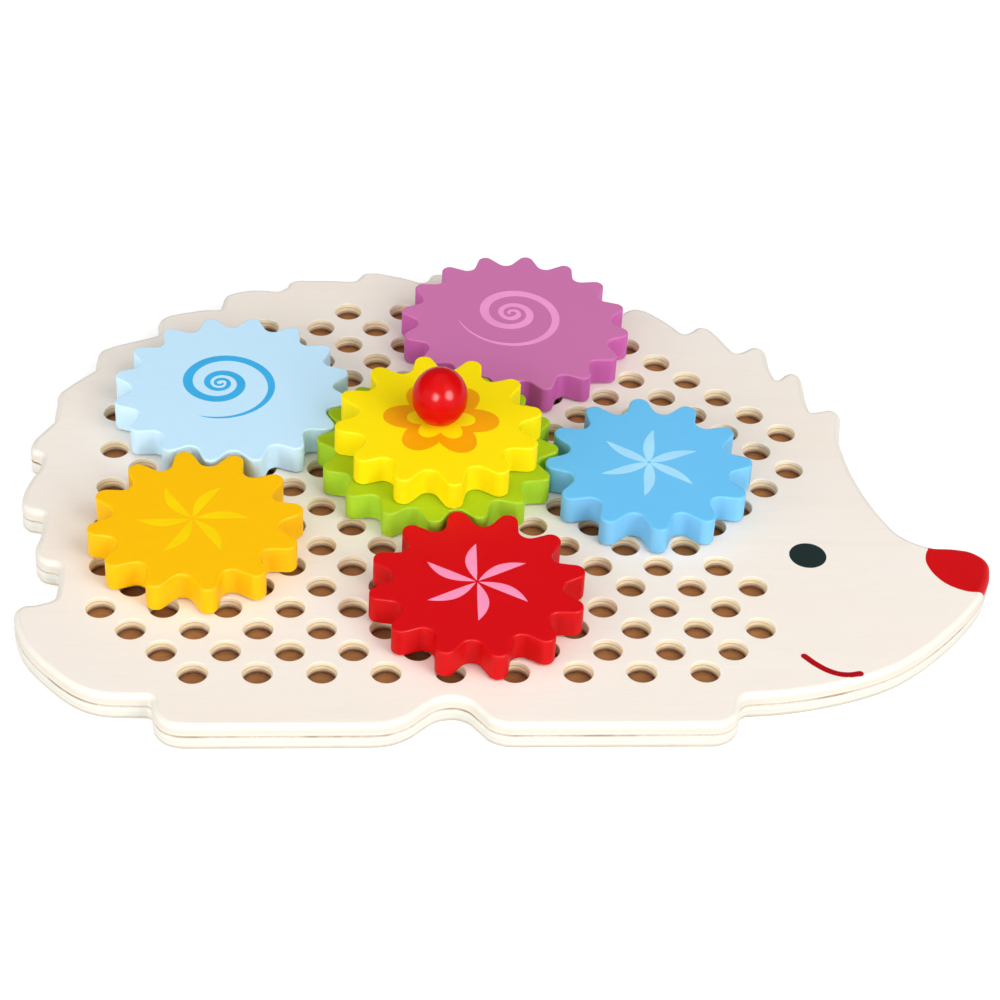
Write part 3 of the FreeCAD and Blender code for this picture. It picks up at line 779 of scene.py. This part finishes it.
def print_ink(name, colour, seed=0.0, rough=0.42):
    """Printed ink: nearly even, with the paint's slight unevenness."""
    n = Nodes(name)
    slow = n.noise(n.coords((0.08, 0.08, 0.08), offset=(seed, 0, 0)), 1.0, 2.0, 0.5)
    fine = n.noise(n.coords((1.2, 1.2, 1.2), offset=(0, seed, 0)), 1.0, 2.0, 0.5)
    c = n.mix(n.span(slow, 0.3, 0.7), tone(colour, 0.95), tone(colour, 1.04))
    n.link(c, n.b.inputs["Base Color"])
    n.link(n.span(fine, 0.3, 0.7, rough - 0.04, rough + 0.05), n.b.inputs["Roughness"])
    n.link(n.bump(fine, 0.05, 0.0001), n.b.inputs["Normal"])
    n.b.inputs["Specular IOR Level"].default_value = 0.1
    return n.mat


def seam(name, clean, stained):
    """Glue squeezed out of the seam between the boards, stained along some stretches."""
    n = Nodes(name)
    long_noise = n.noise(n.coords((0.035, 0.035, 0.0)), 1.0, 3.0, 0.6)
    fine = n.noise(n.coords((1.1, 1.1, 1.1)), 1.0, 2.0, 0.5)
    c = n.mix(n.span(long_noise, 0.46, 0.62, smooth=True), clean, stained)
    c = n.mix(n.span(fine, 0.35, 0.75, 0.0, 0.30), c, tone(stained, 0.9))
    n.link(c, n.b.inputs["Base Color"])
    n.link(n.span(fine, 0.3, 0.7, 0.55, 0.68), n.b.inputs["Roughness"])
    n.link(n.bump(fine, 0.15, 0.0001), n.b.inputs["Normal"])
    n.b.inputs["Specular IOR Level"].default_value = 0.2
    return n.mat


def gloss_paint(name, colour, deep):
    """Thick glossy enamel on a turned ball."""
    n = Nodes(name)
    slow = n.noise(n.coords((0.06, 0.06, 0.06)), 1.0, 2.0, 0.5)
    fine = n.noise(n.coords((0.5, 0.5, 0.5)), 1.0, 2.0, 0.5)
    n.link(n.mix(n.span(slow, 0.3, 0.7), colour, deep), n.b.inputs["Base Color"])
    n.link(n.span(fine, 0.3, 0.7, 0.17, 0.22), n.b.inputs["Roughness"])
    n.link(n.bump(fine, 0.05, 0.0002), n.b.inputs["Normal"])
    n.b.inputs["Specular IOR Level"].default_value = 0.12
    return n.mat


# top face colour of each gear's paint, and a side wall colour lightened or darkened against the light the
# walls get (painted light and shade), as albedos
PAINT_WITH_PAINTED_SIDE_LIGHT = {
    "green": (lin(165, 195, 22), lin(168, 212, 48)),
    "yellow": (lin(253, 226, 2), lin(250, 226, 2)),
    "purple": (lin(203, 117, 172), lin(200, 98, 172)),
    "light_blue": (lin(196, 232, 255), lin(204, 234, 255)),
    "blue": (lin(106, 193, 243), lin(124, 194, 236)),
    "red": (lin(211, 4, 15), lin(200, 8, 12)),
    "orange": (lin(252, 191, 0), lin(245, 188, 4)),
}
INK = {
    "purple": [lin(238, 156, 208)],
    "light_blue": [lin(60, 176, 234)],
    "blue": [lin(166, 223, 254)],
    "red": [lin(251, 152, 190)],
    "orange": [lin(254, 214, 0)],
    # the yellow gear's inner flower ink is lighter than its own colour: painted light against the shade of
    # the knob above it
    "yellow": [lin(243, 166, 0), lin(255, 232, 6)],
}


# ---------------------------------------------------------------------------
# boards
# ---------------------------------------------------------------------------
outline = board_outline()
SEAM_R = 0.5
NOSE_V = 3.715                      # the nose's paint ends on this line of the rim
NOSE_U = 24.12                      # and on this one at the back
MOUTH = [(19.24, 0.695), (19.52, 0.36), (19.86, 0.06), (20.22, -0.12), (20.58, -0.165),
         (20.90, -0.105)]
MOUTH_W = 0.232 * PITCH


def nose_rows(cap_ring):
    """The painted nose: (first, last) rim sample and the curve across the face between them."""
    curve = [(24.007, 5.617), (23.94, 5.311), (23.963, 5.006), (24.069, 4.663), (24.202, 4.402),
             (24.407, 4.136), (24.675, 3.93), (24.975, 3.779), (25.20, 3.72)]
    start, end = at(24.17, 6.04), at(25.54, 3.61)
    d0 = np.hypot(outline[:, 0] - start[0], outline[:, 1] - start[1])
    d1 = np.hypot(outline[:, 0] - end[0], outline[:, 1] - end[1])
    return int(np.argmin(d0)), int(np.argmin(d1)), curve


def hole_centres():
    for row, (first, last) in sorted(HOLE_ROWS.items()):
        for u in range(first, last + 1, 2):
            yield at(u, row)


def arc_band(points, width, per=10):
    """A line of even width with round ends, as a polygon (points in lattice units)."""
    line = np.array([at(*p) for p in smooth_line(points, per)])
    d = np.gradient(line, axis=0)
    d /= np.hypot(d[:, 0], d[:, 1])[:, None]
    nrm = np.stack([-d[:, 1], d[:, 0]], 1)
    w = width / 2
    left, right = line + nrm * w, line - nrm * w
    a0 = math.atan2(d[-1, 1], d[-1, 0])
    end = [(line[-1, 0] + w * math.cos(a0 + math.pi / 2 - math.pi * i / 8),
            line[-1, 1] + w * math.sin(a0 + math.pi / 2 - math.pi * i / 8)) for i in range(1, 8)]
    a1 = math.atan2(-d[0, 1], -d[0, 0])
    start = [(line[0, 0] + w * math.cos(a1 + math.pi / 2 - math.pi * i / 8),
              line[0, 1] + w * math.sin(a1 + math.pi / 2 - math.pi * i / 8)) for i in range(1, 8)]
    return [tuple(p) for p in left] + end + [tuple(p) for p in right[::-1]] + start


def make_top_board(mats):
    # materials: 0 face, 1 outer edge, 2 hole wall, 3 underside, 4 eye, 5 nose, 6 the same edge
    # where the nose and the mouth run out over the rim, 7 glue in the seam, 8 mouth
    b = Builder()
    lower = rounding(SEAM_R, BASE_T, False, 3)[::-1]
    upper = rounding(EDGE_R, PLATE_Z, True, 9)
    rings = rim(b, outline, lower + upper)
    i0, i1, curve = nose_rows(rings[-1])
    k = len(outline)
    span_ids = []
    i = i1
    while i != i0:
        span_ids.append(i)
        i = (i + 1) % k
    nose_ids = span_ids + [i0]
    edge = [1] * k
    # the paint's border on the rim is drawn by the material, so it reaches past both ends
    reach = {(q + d) % k for q in span_ids for d in range(-6, 7)}
    mx, my = at(20.74, -0.4)
    nose_edge = [6 if q in reach or math.hypot(outline[q][0] - mx, outline[q][1] - my) < 6.0 else 1
                 for q in range(k)]
    n_low = len(lower)
    for r in range(len(rings) - 1):
        b.band(rings[r], rings[r + 1], nose_edge if r >= n_low else 7 if r < n_low - 1 else edge)
    top_ring, bottom_ring = rings[-1], rings[0]

    segs = 44
    lips, foots = [], []
    centres = list(hole_centres())
    for q, (cx, cy) in enumerate(centres):
        start = (q * 0.61) % 1.0
        prev = None
        lip = None
        for s in range(5):
            a = math.radians(90 * s / 4)
            r = HOLE_R + LIP_R * (1 - math.sin(a))
            z = PLATE_Z - LIP_R * (1 - math.cos(a))
            pts = circle(cx, cy, r, segs, start)
            ring = b.ring([(x, y, z) for x, y in pts],
                          [(-(x - cx) / r * math.sin(a), -(y - cy) / r * math.sin(a), math.cos(a))
                           for x, y in pts])
            if prev is None:
                lip = ring
            else:
                b.band(prev, ring, 0 if s < 3 else 2)
            prev = ring
        pts = circle(cx, cy, HOLE_R, segs, start)
        foot = b.ring([(x, y, BASE_T) for x, y in pts],
                      [(-(x - cx) / HOLE_R, -(y - cy) / HOLE_R, 0.0) for x, y in pts])
        b.band(prev, foot, 2)
        lips.append(lip)
        foots.append(foot)

    cs = np.array(centres)

    def face_at(ring, radius):
        poly = [(b.v[i][0], b.v[i][1]) for i in ring]

        def keep(mid):
            ok = inside(poly, mid)
            for cx, cy in cs:
                near = (np.abs(mid[:, 0] - cx) < radius) & (np.abs(mid[:, 1] - cy) < radius)
                if near.any():
                    ok &= ~(near & (np.hypot(mid[:, 0] - cx, mid[:, 1] - cy) < radius * math.cos(math.pi / segs) - 1e-4))
            return ok
        return keep

    nose_line = smooth_line([at(24.12, 5.86)] + [at(*p) for p in curve] + [at(25.35, NOSE_V)], 5)
    # the curve is tied to the rim at both ends
    nose_line = [top_ring[i0]] + nose_line[1:-1] + [top_ring[i1]]
    nose_poly = ([(b.v[top_ring[q]][0], b.v[top_ring[q]][1]) for q in nose_ids]
                 + [(p[0], p[1]) for p in nose_line[1:-1]])
    eye = circle(*at(20.03, 5.52), 0.617 * PITCH, 56)
    mouth = arc_band(MOUTH, MOUTH_W)
    b.cap([top_ring] + lips, True, face_at(top_ring, HOLE_R + LIP_R),
          [(eye, 4), (mouth, 8), (nose_poly, 5)], PLATE_Z, 0,
          [(nose_line, False), (eye, True), (mouth, True)])
    b.cap([bottom_ring] + foots, False, face_at(bottom_ring, HOLE_R), (), BASE_T, 3)
    return b.build("perforated_board", mats)


def make_base_board(mats):
    # materials: 0 upper face (floor of the holes), 1 outer edge, 2 underside, 3 glue in the seam
    b = Builder()
    lower = rounding(BASE_EDGE_R, 0.0, False, 5)[::-1]
    upper = rounding(SEAM_R, BASE_T, True, 3)
    rings = rim(b, outline, lower + upper)
    for r in range(len(rings) - 1):
        b.band(rings[r], rings[r + 1], 3 if r >= len(rings) - 4 else 1)

    def keep_of(ring):
        poly = [(b.v[i][0], b.v[i][1]) for i in ring]
        return lambda mid: inside(poly, mid)

    b.cap([rings[-1]], True, keep_of(rings[-1]), (), BASE_T, 0)
    b.cap([rings[0]], False, keep_of(rings[0]), (), 0.0, 2)
    return b.build("lower_board", mats)


def make_gear(key, mats):
    prof, angle, z0, body, node = GEARS[key][2:]
    cx, cy = gear_centre(key)
    z1 = z0 + GEAR_T
    b = Builder()
    ol = gear_outline(cx=cx, cy=cy, angle=angle, **prof)
    rings = rim(b, ol, rounding(GEAR_EDGE_R, z0, False, 6)[::-1] + rounding(GEAR_EDGE_R, z1, True, 6))
    for r in range(len(rings) - 1):
        b.band(rings[r], rings[r + 1], 0)
    segs = 64
    down = (0.0, 0.0, -1.0)

    def wall(r, za, zb, mat):
        """Inward facing cylinder wall from za up to zb."""
        lo = circle(cx, cy, r, segs)
        nr = [(-(x - cx) / r, -(y - cy) / r, 0.0) for x, y in lo]
        a = b.ring([(x, y, za) for x, y in lo], nr)
        c = b.ring([(x, y, zb) for x, y in lo], nr)
        b.band(c, a, mat)
        return a, c

    def disc_keep(outer_poly, r):
        rr = r * math.cos(math.pi / segs) - 1e-4
        return lambda mid: inside(outer_poly, mid) & (np.hypot(mid[:, 0] - cx, mid[:, 1] - cy) > rr)

    last = len(mats) - 1
    if key == "yellow":
        lo, hi = wall(DOWEL_R, z0, z1, last)
        bottom_hole, top_hole, top_r, bottom_r = lo, hi, DOWEL_R, DOWEL_R
    else:
        lo, hi = wall(BORE_R, z0, PEG_TOP, last)
        bottom_hole, bottom_r = lo, BORE_R
        if key == "green":
            dlo, dhi = wall(DOWEL_R, PEG_TOP, z1, last)
            top_hole, top_r = dhi, DOWEL_R
            ring_poly = [(b.v[i][0], b.v[i][1]) for i in hi]
            b.cap([hi, dlo], False, disc_keep(ring_poly, DOWEL_R), (), PEG_TOP, last)
        else:
            top_hole, top_r = None, 0.0
            ring_poly = [(b.v[i][0], b.v[i][1]) for i in hi]
            b.cap([hi], False, lambda mid: inside(ring_poly, mid), (), PEG_TOP, last)
    outer_low = [(b.v[i][0], b.v[i][1]) for i in rings[0]]
    outer_high = [(b.v[i][0], b.v[i][1]) for i in rings[-1]]
    b.cap([rings[0], bottom_hole], False, disc_keep(outer_low, bottom_r), (), z0, 0)
    # the prints are centred on the hole, not on the gear
    px, py = at(*GEARS[key][0])
    regions = [([(px + x * PITCH, py + y * PITCH) for x, y in poly], m)
               for poly, m in PRINTS.get(key, [])]
    extra = [(poly, True) for poly, m in regions]
    if top_hole is None:
        b.cap([rings[-1]], True, lambda mid: inside(outer_high, mid), regions, z1, 0, extra)
    else:
        b.cap([rings[-1], top_hole], True, disc_keep(outer_high, top_r), regions, z1, 0, extra)
    o = b.build(key + "_gear_wood", mats)
    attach(o, body)
    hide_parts(node)
    return o


def make_knob(mats):
    cx, cy = gear_centre("green")
    drop = KNOB_H * math.sqrt(1 - (KNOB_FLAT_R / KNOB_R) ** 2)
    zc = UPPER_TOP + drop
    t_foot = math.acos(-drop / KNOB_H)
    b = Builder()
    segs, rows = 96, 44
    top = b.add((cx, cy, zc + KNOB_H), (0, 0, 1))
    rings = []
    for i in range(1, rows + 1):
        t = t_foot * i / rows
        r, z = KNOB_R * math.sin(t), zc + KNOB_H * math.cos(t)
        nr, nz = math.sin(t) / KNOB_R, math.cos(t) / KNOB_H
        l = math.hypot(nr, nz)
        pts = circle(cx, cy, r, segs)
        rings.append(b.ring([(x, y, z) for x, y in pts],
                            [((x - cx) / r * nr / l, (y - cy) / r * nr / l, nz / l) for x, y in pts]))
    for j in range(segs):
        b.face((top, rings[0][j], rings[0][(j + 1) % segs]))
    for i in range(rows - 1):
        b.band(rings[i + 1], rings[i])
    # flat foot with the blind dowel hole
    pts = circle(cx, cy, DOWEL_R, segs)
    nr = [(-(x - cx) / DOWEL_R, -(y - cy) / DOWEL_R, 0.0) for x, y in pts]
    lo = b.ring([(x, y, UPPER_TOP) for x, y in pts], nr)
    hi = b.ring([(x, y, UPPER_TOP + DOWEL_IN_KNOB + 0.2) for x, y in pts], nr)
    b.band(hi, lo)
    down = [(0.0, 0.0, -1.0)] * segs
    b.band(lo, rings[-1], 0, down, down)
    ring_poly = [(b.v[i][0], b.v[i][1]) for i in hi]
    b.cap([hi], False, lambda mid: inside(ring_poly, mid), (), UPPER_TOP + DOWEL_IN_KNOB + 0.2)
    o = b.build("knob_ball", mats)
    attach(o, "crank")
    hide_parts("crank_knob")
    return o


face = whitewash("board_face", lin(243, 235, 226), lin(243, 233, 222), 1.0)
EDGE_LOOK = (lin(218, 213, 202), lin(215, 208, 195), lin(208, 190, 166), BASE_T, (1.7, 3.4), 0.25, 2.0)
# the rounded rim turns to this tone as it faces up, darker than the face: painted shade on the rounding
RIM_SHADE_TONE = lin(236, 229, 219)
edge = ply_edge("board_edge", *EDGE_LOOK, rim_shade_tone=RIM_SHADE_TONE)
NOSE_RED, MOUTH_RED = lin(204, 10, 17), lin(170, 2, 18)
printed_edge = ply_edge("board_edge_at_the_nose", *EDGE_LOOK, inks=(NOSE_RED, MOUTH_RED), rim_shade_tone=RIM_SHADE_TONE)
# hole walls: the dark brown foot colour at their bottom is painted shade in the corner with the floor of
# the hole
wall = ply_edge("hole_wall", lin(255, 246, 222), lin(255, 234, 190), lin(150, 98, 50), BASE_T,
                (1.45, 3.1), 0.66, 5.0, 0.55, foot=lin(126, 70, 30), foot_shade_span=(0.35, 1.7))
under = whitewash("board_underside", lin(232, 216, 194), lin(226, 206, 180), 7.0)
glue = seam("glued_seam", lin(212, 200, 184), lin(168, 144, 118))
eye_ink = print_ink("eye_ink", lin(30, 45, 45), 1.0)
nose_ink = print_ink("nose_ink", NOSE_RED, 2.0)
mouth_ink = print_ink("mouth_ink", MOUTH_RED, 8.0)
top_board = make_top_board([face, edge, wall, under, eye_ink, nose_ink, printed_edge, glue, mouth_ink])
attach(top_board, "boards")
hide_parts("top_board")

# the third colour is the painted shade in the corner of each hole
hole_floor = floor_wood("hole_floor", lin(172, 118, 64), lin(156, 100, 50), lin(100, 52, 20), 3.0)
# the lower board's edge darkens towards its bottom: painted contact shadow against the studio floor
base_edge = ply_edge("base_edge", lin(218, 217, 209), lin(214, 210, 200), lin(200, 184, 160), 0.0,
                     (1.6, 3.4), 0.35, 9.0, foot=lin(176, 164, 146), foot_shade_span=(0.7, 2.0))
base_board = make_base_board([hole_floor, base_edge, under, glue])
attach(base_board, "boards")
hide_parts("base_board")

bore = bare_wood("bored_wood", lin(222, 190, 148), lin(196, 158, 112))
for i, key in enumerate(GEARS):
    top, side = PAINT_WITH_PAINTED_SIDE_LIGHT[key]
    mats = [paint(key + "_gear_paint", top, side, 3.0 + 5.3 * i, grain_dir=0.5 * i)]
    for j, ink in enumerate(INK.get(key, [])):
        mats.append(print_ink("%s_print_%d" % (key, j + 1), ink, 2.0 * i + j))
    mats.append(bore)
    make_gear(key, mats)
make_knob([gloss_paint("knob_enamel", lin(206, 4, 6), lin(198, 4, 6))])

peg_wood = bare_wood("beech_dowel", lin(232, 202, 160), lin(204, 166, 120))
for name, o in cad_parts.items():
    if name.endswith("_peg") or name == "crank_dowel":
        o.data.materials.clear()
        o.data.materials.append(peg_wood)

# ---------------------------------------------------------------------------
# camera, light and floor
# ---------------------------------------------------------------------------
AZ, EL, ROLL, DIST = -0.0923557, 0.6969883, 0.0616421, 90.225182
back = Vector((math.sin(AZ) * math.cos(EL), -math.cos(AZ) * math.cos(EL), math.sin(EL)))
aim = Vector(((9.985982 - CENTRE_U) * PITCH, (8.334942 - CENTRE_V) * PITCH, PLATE_Z)) * MM
eye_at = aim + back * (DIST * PITCH * MM)
fwd = -back
right = fwd.cross(Vector((0, 0, 1))).normalized()
up = right.cross(fwd)
rx = right * math.cos(ROLL) + up * math.sin(ROLL)
uy = -right * math.sin(ROLL) + up * math.cos(ROLL)
cam_data = bpy.data.cameras.new("camera")
cam_data.sensor_width = 36.0
cam_data.lens = 96.757
cam_data.clip_start, cam_data.clip_end = 0.05, 50.0
cam = bpy.data.objects.new("camera", cam_data)
cam.matrix_world = Matrix((
    (rx.x, uy.x, back.x, eye_at.x),
    (rx.y, uy.y, back.y, eye_at.y),
    (rx.z, uy.z, back.z, eye_at.z),
    (0, 0, 0, 1)))
bpy.context.scene.collection.objects.link(cam)
bpy.context.scene.camera = cam


TENT_TOP, TENT_FRONT, TENT_BACK = 0.95, 0.76, 0.18


def softbox(name, direction, distance, size, power, colour=(1.0, 1.0, 1.0), mirrored=False):
    """Round softbox. Fill boxes only light the surfaces, mirrored ones only give the glints."""
    d = Vector(direction).normalized()
    data = bpy.data.lights.new(name, "AREA")
    data.shape = "DISK"
    data.size = size
    data.energy = power
    data.color = colour
    o = bpy.data.objects.new(name, data)
    o.location = Vector((0, 0, 0.03)) + d * distance
    o.rotation_mode = "QUATERNION"
    o.rotation_quaternion = d.to_track_quat("Z", "Y")
    o.visible_diffuse = not mirrored
    o.visible_glossy = mirrored
    bpy.context.scene.collection.objects.link(o)
    return o


KEY_R, KEY_L = (0.589, -0.703, 0.398), (-0.356, -0.865, 0.353)
softbox("high_right", (0.54, -0.42, 0.73), 1.8, 1.10, 9.5, (1.0, 0.985, 0.965))
softbox("fill_right", KEY_R, 1.8, 0.70, 7.5, (1.0, 0.99, 0.975))
softbox("fill_left", KEY_L, 1.8, 0.70, 5.0, (1.0, 0.99, 0.98))
softbox("fill_far_left", (-0.86, -0.41, 0.30), 1.8, 0.90, 8.5, (1.0, 0.99, 0.98))
softbox("glint_right", KEY_R, 1.8, 0.92, 90.0, mirrored=True)
softbox("glint_left", KEY_L, 1.8, 0.74, 60.0, mirrored=True)

world = bpy.data.worlds.new("studio")
world.use_nodes = True
wt = world.node_tree
bg = wt.nodes["Background"]
tc = wt.nodes.new("ShaderNodeTexCoord")
sep = wt.nodes.new("ShaderNodeSeparateXYZ")
wt.links.new(tc.outputs["Generated"], sep.inputs[0])


def world_ramp(socket, a, b, lo=0.0, hi=1.0):
    m = wt.nodes.new("ShaderNodeMapRange")
    m.interpolation_type = "SMOOTHSTEP"
    wt.links.new(socket, m.inputs["Value"])
    for k, x in zip(("From Min", "From Max", "To Min", "To Max"), (a, b, lo, hi)):
        m.inputs[k].default_value = x
    return m.outputs["Result"]


def world_blend(fac, a, b):
    m = wt.nodes.new("ShaderNodeMix")
    wt.links.new(fac, m.inputs[0])
    for i, x in ((2, a), (3, b)):
        if isinstance(x, float):
            m.inputs[i].default_value = x
        else:
            wt.links.new(x, m.inputs[i])
    return m.outputs[0]


# a bright ceiling over dimmer walls, open and dark at the back
low = world_blend(world_ramp(sep.outputs[1], -0.55, 0.25), TENT_FRONT, TENT_BACK)
tent = world_blend(world_ramp(sep.outputs[2], 0.74, 0.92), low, TENT_TOP)
# seen directly, past the end of the floor, the backdrop is plain and pale
seen = wt.nodes.new("ShaderNodeLightPath").outputs["Is Camera Ray"]
wt.links.new(world_blend(seen, tent, 0.86), bg.inputs["Strength"])
bg.inputs["Color"].default_value = (1.0, 1.0, 1.0, 1.0)
bpy.context.scene.world = world

fl = bpy.data.meshes.new("studio_floor")
s = 4.0
fl.from_pydata([(-s, -s, -0.0002), (s, -s, -0.0002), (s, s, -0.0002), (-s, s, -0.0002)], [], [(0, 1, 2, 3)])
floor = bpy.data.objects.new("studio_floor", fl)
bpy.context.scene.collection.objects.link(floor)
fm = Nodes("white_sweep")
fm.b.inputs["Base Color"].default_value = (0.6, 0.6, 0.6, 1.0)
fm.b.inputs["Roughness"].default_value = 0.9
fm.b.inputs["Specular IOR Level"].default_value = 0.0
fm.b.inputs["Emission Color"].default_value = (1.0, 1.0, 1.0, 1.0)
fm.b.inputs["Emission Strength"].default_value = 0.55
floor.data.materials.append(fm.mat)

bpy.context.scene.view_settings.view_transform = "Standard"
bpy.context.scene.view_settings.look = "None"
bpy.context.scene.view_settings.exposure = 0.0
bpy.context.scene.view_settings.gamma = 1.0
